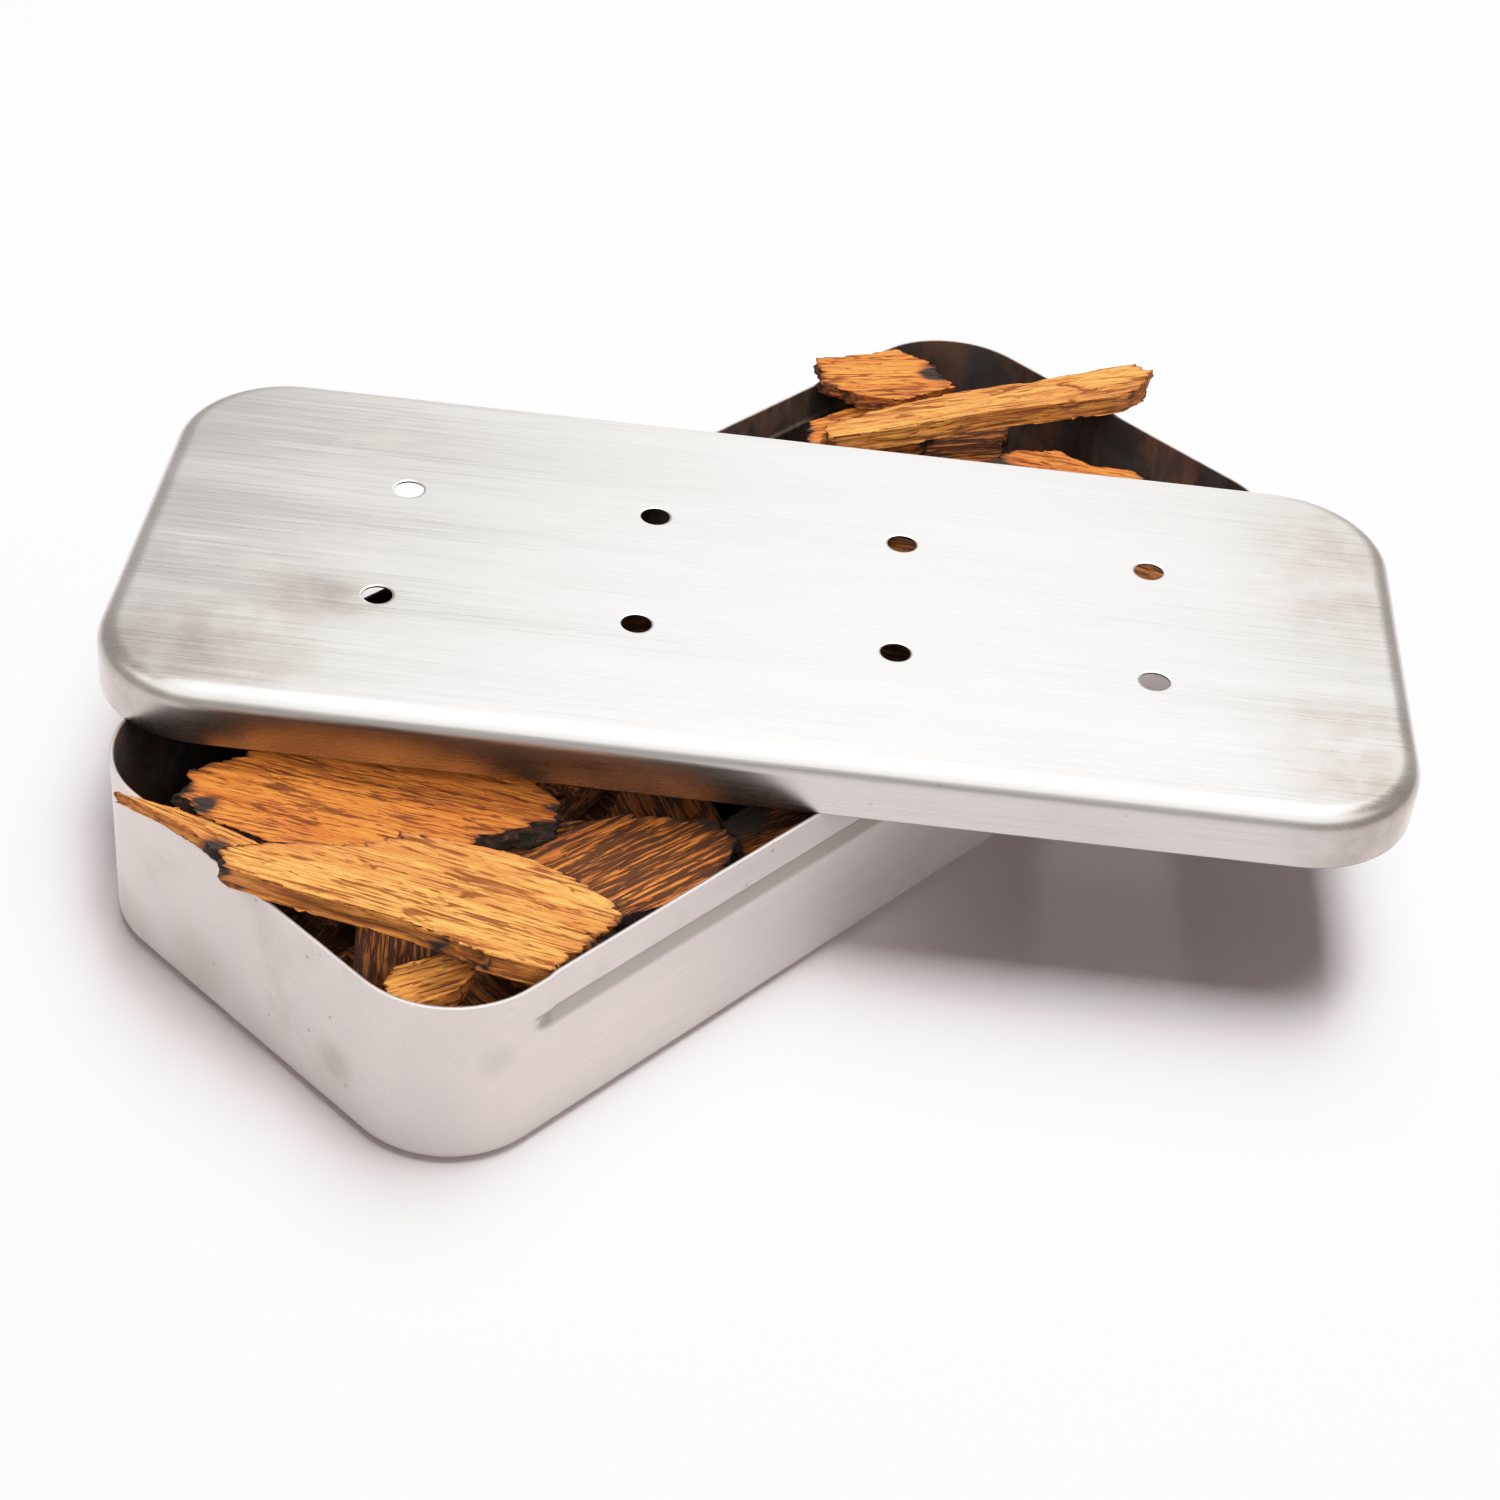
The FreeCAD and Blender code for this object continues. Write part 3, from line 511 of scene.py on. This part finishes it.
def make_lid(material):
    """The lid, made upside down about its own middle, then turned over and laid across the tray's rim."""
    length, width = LID_SIZE
    cuts = (((0, 0, 1), [LID_HEIGHT - CUT_EDGE]),)
    bm = pan_shell(length, width, LID_HEIGHT, LID_CORNER, LID_ROUNDING, cuts)
    flat = [f for f in bm.faces if f.calc_center_median().z < 1e-5 and abs(f.normal.z) > 0.9]
    bmesh.ops.inset_region(bm, faces=flat, thickness=0.6 * MM, use_even_offset=True)
    flat = [f for f in bm.faces if abs(f.normal.z) > 0.9 and f.calc_area() > 0.005]
    outline = [e for f in flat for e in f.edges]
    bmesh.ops.delete(bm, geom=flat, context="FACES_ONLY")
    rings = []
    for column in range(VENT_COLUMNS):
        for row in (-0.5, 0.5):
            x = (column - (VENT_COLUMNS - 1) / 2) * VENT_PITCH[0]
            rings += vent_lip(bm, Matrix.Translation((x, row * VENT_PITCH[1], 0)))
    made = set(bm.faces)
    bmesh.ops.triangle_fill(bm, edges=outline + rings, use_beauty=True, normal=(0, 0, -1))
    plugs = [f for f in bm.faces if f not in made and in_vent(f)]
    bmesh.ops.delete(bm, geom=plugs, context="FACES_ONLY")
    bmesh.ops.recalc_face_normals(bm, faces=bm.faces[:])
    if sum(f.normal.z * f.calc_area() for f in bm.faces) > 0:
        bmesh.ops.reverse_faces(bm, faces=bm.faces[:])
    line_with_sheet(bm)
    for angle, axis in ((math.pi, "X"), (math.radians(LID_TURN), "Z")):
        bmesh.ops.rotate(bm, verts=bm.verts[:], cent=(0, 0, 0), matrix=Matrix.Rotation(angle, 3, axis))
    bmesh.ops.translate(bm, verts=bm.verts[:], vec=(*LID_MIDDLE, LID_HIGH[2]))
    finish_sheet(bm, "lid", material)


# ======================================================================= chips
BURIED_SCORCH = 0.38           # how far the buried chips are scorched all over

# How each showing chip is split and scorched: its grain's turn in degrees, scorched spots as
# (along, across, reach) in millimetres from its middle, and how far its ends and flanks are darkened, partly
# burnt and partly painted shade.
CHIP_STYLE = {
    "front_plank_chip": (-54, [(33, -9, 3)], 0.55),
    "long_splinter_chip": (-62, [(2, -5, 4)], 0.3),
    "broad_chip": (-58, [(33, 0, 2.5), (26, -9, 2), (-27, -10, 2.5)], 0.6),
    "striped_chip": (-5, [(-18, 12, 7), (-8, 14, 5), (20, 0, 4)], 0.6),
    "right_side_chip": (-12, [(-15, 5, 8)], 0.5),
    "small_stick_chip": (-9, [], 0.3),
    "low_sliver_chip": (-41, [], 0.3),
    "thin_splinter_chip": (-26, [], 0.3),
    "rear_left_chip": (-31, [(13, 0, 4)], 0.4),
    "rear_long_stick_chip": (-27, [], 0.3),
    "rear_broad_chip": (-44, [(-18, 5, 6)], 0.5),
    "rear_inner_chip": (-27, [(10, 5, 7)], 0.6),
}


def longest_turn(points):
    """The turn in degrees of the long way of a set of points, seen from above."""
    mid_x = sum(p.x for p in points) / len(points)
    mid_y = sum(p.y for p in points) / len(points)
    xx = sum((p.x - mid_x) ** 2 for p in points)
    yy = sum((p.y - mid_y) ** 2 for p in points)
    xy = sum((p.x - mid_x) * (p.y - mid_y) for p in points)
    return math.degrees(0.5 * math.atan2(2 * xy, xx - yy))


def chip_axes(bm, turn):
    """The matrix from a chip's own axes (along, across, through) to the tray's."""
    faces = [f for f in bm.faces if f.normal.z > 0.5]
    up = max(faces, key=lambda f: f.calc_area()).normal.copy()
    along = Vector((math.cos(math.radians(turn)), math.sin(math.radians(turn)), 0))
    along = (along - up * along.dot(up)).normalized()
    across = up.cross(along)
    middle = sum((v.co for v in bm.verts), Vector()) / len(bm.verts)
    axes = Matrix((along, across, up)).transposed().to_4x4()
    axes.translation = middle
    return axes


def slice_up(bm, axis, step):
    """Cuts the whole mesh across one axis every step, so that it can be carved."""
    values = [v.co[axis] for v in bm.verts]
    normal = Vector((axis == 0, axis == 1, axis == 2))
    count = int((max(values) - min(values)) / step)
    for i in range(1, count + 1):
        place = normal * (min(values) + i * (max(values) - min(values)) / (count + 1))
        everything = bm.verts[:] + bm.edges[:] + bm.faces[:]
        bmesh.ops.bisect_plane(bm, geom=everything, dist=1e-7, plane_co=place, plane_no=normal)


def wave(x, y, z):
    """A smooth wandering value between about -1 and 1."""
    return noise.noise(Vector((x, y, z)))


def carved_depth(p, normal, seed):
    """How far a point of a chip's surface is worn in, in millimetres, and how dark its cracks make it."""
    x, y, z = p.x / MM, p.y / MM, p.z / MM
    fibre = wave(x * 0.06 + seed, y * 1.3, z * 1.3)
    swell = wave(x * 0.05, y * 0.16 + seed, z * 0.3)
    crack = 1 - abs(wave(x * 0.06, y * 0.75, z * 0.5 + seed)) * 9
    crack = max(0.0, crack) * max(0.0, 0.5 + wave(x * 0.11, y * 0.25, seed))
    tear = max(0.0, wave(x * 0.05 + seed, y * 0.55, z * 0.5) - 0.1)
    nick = 0.5 + 0.5 * wave(x * 0.2, seed, z * 0.9)
    flat = abs(normal.z) * (0.10 + 0.14 * fibre + 0.2 * (0.5 + swell) + 0.55 * crack + 0.7 * tear)
    side = abs(normal.y) * (0.1 + 0.8 * nick * nick + 0.12 * fibre)
    return max(0.02, flat + side), min(1.0, 1.5 * crack * abs(normal.z))


def end_reach(bm, step):
    """The ends of the chip along its grain, by strips across it."""
    ends = {}
    for v in bm.verts:
        key = round(v.co.y / step)
        low, high = ends.get(key, (v.co.x, v.co.x))
        ends[key] = (min(low, v.co.x), max(high, v.co.x))
    return ends


def splintered(x, y, z, low, high, seed):
    """Draws the ends of one strand of the chip back by its own amount."""
    span = high - low
    if span <= 0:
        return x
    back = []
    for end in (0, 1):
        thin = 0.5 + 0.5 * wave(seed + 11 * end, y / MM * 1.2, z / MM * 1.0)
        broad = 0.5 + 0.5 * wave(seed * 2 + 7 * end, y / MM * 0.33, z / MM * 0.4)
        back.append(min(0.13 * span, (3.4 * thin * thin + 2.2 * broad * broad) * MM))
    return low + back[0] + (x - low) * (span - back[0] - back[1]) / span


def detailed_chip(name, material, slot, along_step, across_step, seed):
    """A split chip carved out of its plain solid, with its grain, its pits and the painted shade on its
    flanks, and its scorched spots as attributes.
    """
    node = frame["nodes"][name]
    bm = bmesh.new()
    bm.from_mesh(node.data)
    bmesh.ops.remove_doubles(bm, verts=bm.verts[:], dist=1e-6)
    bmesh.ops.dissolve_limit(bm, angle_limit=0.01, verts=bm.verts[:], edges=bm.edges[:])
    bm.normal_update()
    turn, scorched, rim_burn_and_shade = CHIP_STYLE.get(name, (None, [], 0.0))
    if turn is None:
        turn = longest_turn([v.co for v in bm.verts])
    axes = chip_axes(bm, turn)
    bm.transform(axes.inverted())
    slice_up(bm, 0, along_step)
    slice_up(bm, 1, across_step)
    slice_up(bm, 2, across_step * 2)
    bm.normal_update()
    grain = bm.verts.layers.float_vector.new("grain")
    pit_and_flank_shade = bm.verts.layers.float.new("pit_and_flank_shade")
    char = bm.verts.layers.float.new("char")
    shift = Vector((seed * 0.137, seed * 0.071, seed * 0.053))
    ends = end_reach(bm, across_step)
    worn = []
    for v in bm.verts:
        depth, dark = carved_depth(v.co, v.normal, seed * 7.31)
        x, y, z = v.co
        low, high = ends[round(y / across_step)]
        edge = min(x - low, high - x) / MM
        v[grain] = v.co + shift
        flank = 1 - abs(v.normal.z)
        # Dark cracks, and painted shade on the chip's flanks.
        v[pit_and_flank_shade] = max(dark, flank * (0.42 + 0.7 * wave(x / MM * 0.08, y / MM * 0.9, z / MM * 1.7)))
        # Burnt ends and flanks, partly painted shade along the chip's edges.
        burn = rim_burn_and_shade * max(0.0, 1 - edge / 2.2) + 0.45 * rim_burn_and_shade * flank
        burn = max(burn, BURIED_SCORCH if name.startswith("bed_") else 0.0)
        for along, across, reach in scorched:
            burn = max(burn, 1.3 - math.hypot(x / MM - along, y / MM - across) / reach)
        v[char] = burn
        place = Vector((splintered(x, y, z, low, high, seed * 3.7), y, z))
        worn.append((v, place - v.normal * depth * MM))
    for v, place in worn:
        v.co = place
    bm.transform(axes)
    mesh = bpy.data.meshes.new(name + "_split")
    bm.to_mesh(mesh)
    bm.free()
    mesh.polygons.foreach_set("use_smooth", [True] * len(mesh.polygons))
    mesh.materials.append(material)
    piece = bpy.data.objects.new(name + "_split", mesh)
    bpy.context.scene.collection.objects.link(piece)
    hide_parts(name)
    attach(piece, node["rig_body"])
    return piece


def make_chips():
    """Every wood chip; those that don't show are cut more coarsely."""
    slots = {part["node"]: part["material_slot"] for part in frame["record"]["subparts"]}
    woods = {
        "fresh_wood": make_wood("Fresh split wood", (0.55, 0.220, 0.046, 1), (0.34, 0.105, 0.018, 1),
                                (0.105, 0.027, 0.006, 1), 0.12),
        "amber_wood": make_wood("Amber split wood", (0.50, 0.160, 0.024, 1), (0.31, 0.078, 0.010, 1),
                                (0.085, 0.020, 0.005, 1), 0.16),
        "smoked_wood": make_wood("Smoked split wood", (0.42, 0.130, 0.020, 1), (0.20, 0.050, 0.008, 1),
                                 (0.016, 0.006, 0.003, 1), 0.8),
    }
    chips = []
    for number, name in enumerate(sorted(n for n in frame["nodes"] if n not in ("tray", "lid"))):
        showing = name in CHIP_STYLE
        steps = (1.1 * MM, 0.38 * MM) if showing else (3 * MM, 1.1 * MM)
        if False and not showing:
            steps = (6 * MM, 3 * MM)
        chips.append(detailed_chip(name, woods[slots[name]], slots[name], *steps, number + 1))
    return chips


# ======================================================================= studio
WALL_OFFSET = 3.4              # degrees that the bright wall stands off straight ahead of the camera


def make_floor():
    """A wide pale floor that looks a little brighter where steel mirrors it."""
    mesh = bpy.data.meshes.new("studio_floor")
    bm = bmesh.new()
    bmesh.ops.create_grid(bm, x_segments=1, y_segments=1, size=6.0)
    bmesh.ops.translate(bm, verts=bm.verts[:], vec=(0, 0, -0.0001))
    bm.to_mesh(mesh)
    bm.free()
    floor = bpy.data.objects.new("studio_floor", mesh)
    bpy.context.scene.collection.objects.link(floor)
    material, w, shader = new_material("Pale floor")
    shader.inputs["Base Color"].default_value = (0.84, 0.80, 0.805, 1)
    shader.inputs["Roughness"].default_value = 0.7
    shader.inputs["Emission Color"].default_value = (1.0, 0.93, 0.92, 1)
    mirrored = w.add("LightPath").outputs["Is Glossy Ray"]
    w.feed(shader.inputs["Emission Strength"], w.math("MULTIPLY", mirrored, 0.15))
    mesh.materials.append(material)


def soft_light(name, place, target, wide, deep, power):
    """A rectangle of soft light; wide and deep are as the camera sees it."""
    data = bpy.data.lights.new(name, "AREA")
    data.shape = "RECTANGLE"
    data.size = wide
    data.size_y = deep
    data.energy = power
    light = bpy.data.objects.new(name, data)
    back = (Vector(place) - Vector(target)).normalized()
    up = back.cross(CAMERA_RIGHT).normalized()
    axes = Matrix((up.cross(back), up, back)).transposed().to_4x4()
    axes.translation = place
    light.matrix_world = axes
    bpy.context.scene.collection.objects.link(light)
    return light


def make_world():
    """What lights the object: a dim warm room, brighter at the right.  What steel mirrors: a bright wall."""
    world = bpy.data.worlds.new("Soft studio")
    world.use_nodes = True
    w = Wiring(world.node_tree.nodes, world.node_tree.links)
    way = w.add("TexCoord").outputs["Generated"]

    def part_along(turn):
        node = w.add("VectorMath", operation="DOT_PRODUCT")
        w.feed(node.inputs[0], way)
        node.inputs[1].default_value = (math.cos(turn), math.sin(turn), 0)
        return node.outputs["Value"]

    turn = math.radians(CAMERA_TURN + 180 - WALL_OFFSET)
    split = w.add("SeparateXYZ")
    w.feed(split.inputs[0], way)
    height = split.outputs[2]
    ahead = part_along(turn)
    aside = w.math("ABSOLUTE", part_along(turn + math.pi / 2))
    aside = w.math("DIVIDE", aside, w.math("MAXIMUM", ahead, 0.01))
    front = w.spread(ahead, 0.1, 0.3)
    low = w.spread(height, 0.8, 0.93, 1, 0)
    wall = w.math("MULTIPLY", w.math("MULTIPLY", w.spread(aside, 0.08, 0.42, 1, 0), front), low)
    core = w.math("MULTIPLY", w.math("MULTIPLY", w.spread(aside, 0.0, 0.20, 1, 0), front), low)
    ceiling = w.math("MAXIMUM", w.spread(height, 0.86, 0.96),
                     w.math("MULTIPLY", w.spread(ahead, -0.1, 0.1, 1, 0), w.spread(height, 0.45, 0.7)))
    mirrored = w.blend(wall, (0.80, 0.76, 0.74, 1), (1.50, 1.48, 1.45, 1))
    mirrored = w.blend(core, mirrored, (3.1, 3.06, 3.0, 1))
    mirrored = w.blend(ceiling, mirrored, (3.0, 2.97, 2.93, 1))
    right = w.spread(part_along(turn - math.pi / 2), 0.35, 0.85)
    right = w.math("MULTIPLY", right, w.spread(height, -0.05, 0.2))
    around = w.blend(right, (0.12, 0.088, 0.092, 1), (0.58, 0.52, 0.52, 1))
    path = w.add("LightPath")
    light = w.blend(path.outputs["Is Glossy Ray"], around, mirrored)
    w.feed(world.node_tree.nodes["Background"].inputs["Color"], light)
    bpy.context.scene.world = world


def make_studio(chips):
    """The floor, the surroundings, a soft light overhead and a small one that lights only the chips."""
    make_floor()
    make_world()
    soft_light("overhead_light", (0.245, 0.085, 1.1), (0, 0, 0), 0.6, 1.1, 27)
    fill = soft_light("chip_light", (-0.37, -0.44, 0.5), (0, 0, 0.02), 0.35, 0.35, 8)
    lit = bpy.data.collections.new("lit_by_chip_light")
    for chip in chips:
        lit.objects.link(chip)
    fill.light_linking.receiver_collection = lit


def soften_highlights():
    """Lets the brightest parts roll off gently to white."""
    view = bpy.context.scene.view_settings
    view.view_transform = "Standard"
    view.use_curve_mapping = True
    curve = view.curve_mapping
    curve.white_level = (2.0, 2.0, 2.0)
    line = curve.curves[3]
    for place in ((0.30, 0.60), (0.45, 0.83), (0.70, 0.965)):
        line.points.new(*place)
    curve.update()


def make_camera():
    turn = math.radians(CAMERA_TURN)
    rise = math.radians(CAMERA_RISE)
    roll = math.radians(CAMERA_ROLL)
    back = Vector((math.cos(rise) * math.cos(turn), math.cos(rise) * math.sin(turn), math.sin(rise)))
    up = back.cross(CAMERA_RIGHT)
    side = CAMERA_RIGHT * math.cos(roll) + up * math.sin(roll)
    top = up * math.cos(roll) - CAMERA_RIGHT * math.sin(roll)
    data = bpy.data.cameras.new("camera")
    data.lens = CAMERA_LENS
    data.sensor_width = 36
    data.clip_start = 0.01
    camera = bpy.data.objects.new("camera", data)
    axes = Matrix((side, top, back)).transposed().to_4x4()
    axes.translation = Vector(CAMERA_PLACE)
    camera.matrix_world = axes
    bpy.context.scene.collection.objects.link(camera)
    bpy.context.scene.camera = camera


WOOD_GROUP = make_wood_group()
BRUSHING_GROUP = make_brushing_group()
SMUDGE_GROUP = make_smudge_group()

make_tray(make_steel("Tray steel", 0, (0.54, 0.505, 0.49, 1), 0.62, 0.55, TRAY_STAINS))
make_lid(make_steel("Lid steel", LID_TURN, (0.40, 0.39, 0.375, 1), 0.29, 0.35, LID_STAINS_AND_SHADE))
make_studio(make_chips())
make_camera()
soften_highlights()
